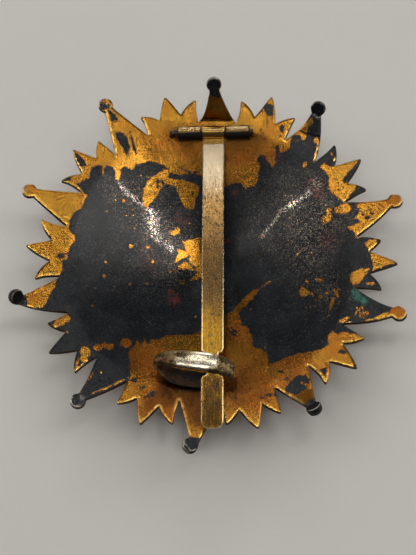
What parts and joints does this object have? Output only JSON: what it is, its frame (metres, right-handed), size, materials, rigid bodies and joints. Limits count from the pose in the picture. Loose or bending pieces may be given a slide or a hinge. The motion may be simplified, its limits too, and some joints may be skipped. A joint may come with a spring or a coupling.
{
  "type": "breast star",
  "caption": "Gilt breast star seen from its back: dished plate with ball-tipped rays and curled flames, hinged flat pin and C-shaped catch hook.",
  "frame": {"origin": "centre of the flat resting face of the front boss, on the axis of the dished plate", "axes": "+Z out of the star's back, away from what it lies on; +Y from the star's centre towards the hinge; +X to the right seen from the back with the hinge up"},
  "size_m": [0.085, 0.0826, 0.0184],
  "materials": {
    "gilt_plate": "fire-gilt, with blue-black tarnish over most of the middle",
    "worn_silver": "worn silver with dark dents and brown tarnish",
    "rod_metal": "brown and dull",
    "gilt_blade": "worn gilding over silver, scratched and pitted, bright along its edges"
  },
  "bodies": {
    "star": {"star_plate": "gilt_plate", "left_knuckle": "worn_silver", "right_knuckle": "worn_silver", "hinge_rod": "rod_metal", "catch_hook": "worn_silver"},
    "pin": {"pin_blade": "gilt_blade"}
  },
  "joints": [
    {"name": "pin_hinge", "type": "hinge", "parent": "star", "child": "pin", "pos_m": [0.001, 0.0292, 0.01023], "axis": [-1, 0, 0], "range_deg": [0, 110]}
  ]
}
